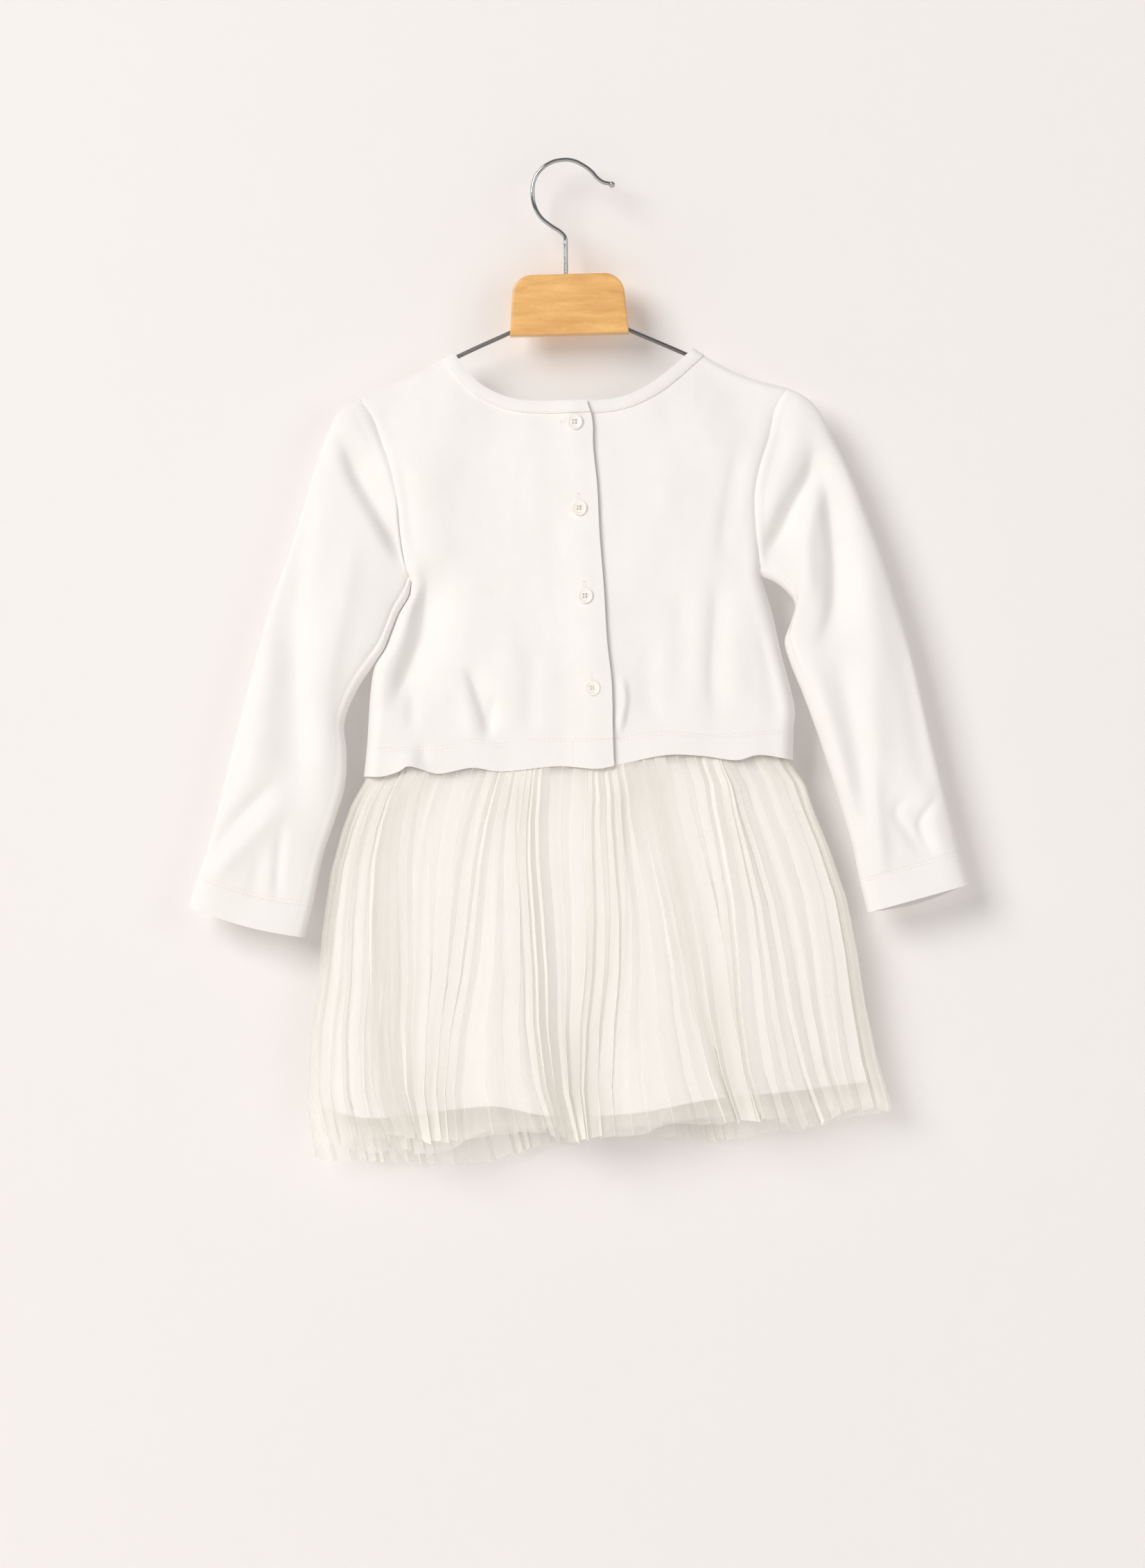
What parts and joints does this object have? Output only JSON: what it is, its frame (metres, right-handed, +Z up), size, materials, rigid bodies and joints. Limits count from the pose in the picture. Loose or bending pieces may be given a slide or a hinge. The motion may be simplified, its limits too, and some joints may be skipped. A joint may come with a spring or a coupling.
{
  "type": "long-sleeved child's dress with a pleated tulle skirt, on a hanger",
  "caption": "Child's dress with a long-sleeved jersey bodice that buttons down the back and a pleated tulle skirt over a lining, hanging on a wood and wire hanger.",
  "frame": {"origin": "inside top of the hanger's hook, where a rail or nail carries it", "axes": "+Z up, -Y out of the buttoned back of the dress, +X to the right as that back is seen"},
  "size_m": [0.5511, 0.0532, 0.7126],
  "materials": {
    "jersey": "matt ivory cotton jersey",
    "tulle": "sheer pleated ivory tulle",
    "lining": "smooth off-white lining",
    "button": "pearly white",
    "wood": "satin lacquered, honey coloured",
    "wire": "dull grey steel wire",
    "hook": "bright chromed wire"
  },
  "bodies": {
    "root": {"front_bodice": "jersey", "back_left": "jersey", "back_right": "jersey", "neck_binding": "jersey", "sleeve_left": "jersey", "sleeve_right": "jersey", "skirt_tulle_outer": "tulle", "skirt_tulle_inner": "tulle", "skirt_lining": "lining", "button_1": "button", "button_2": "button", "button_3": "button", "button_4": "button", "hanger_block": "wood", "hanger_arm_left": "wire", "hanger_arm_right": "wire", "hanger_hook": "hook"}
  },
  "joints": []
}
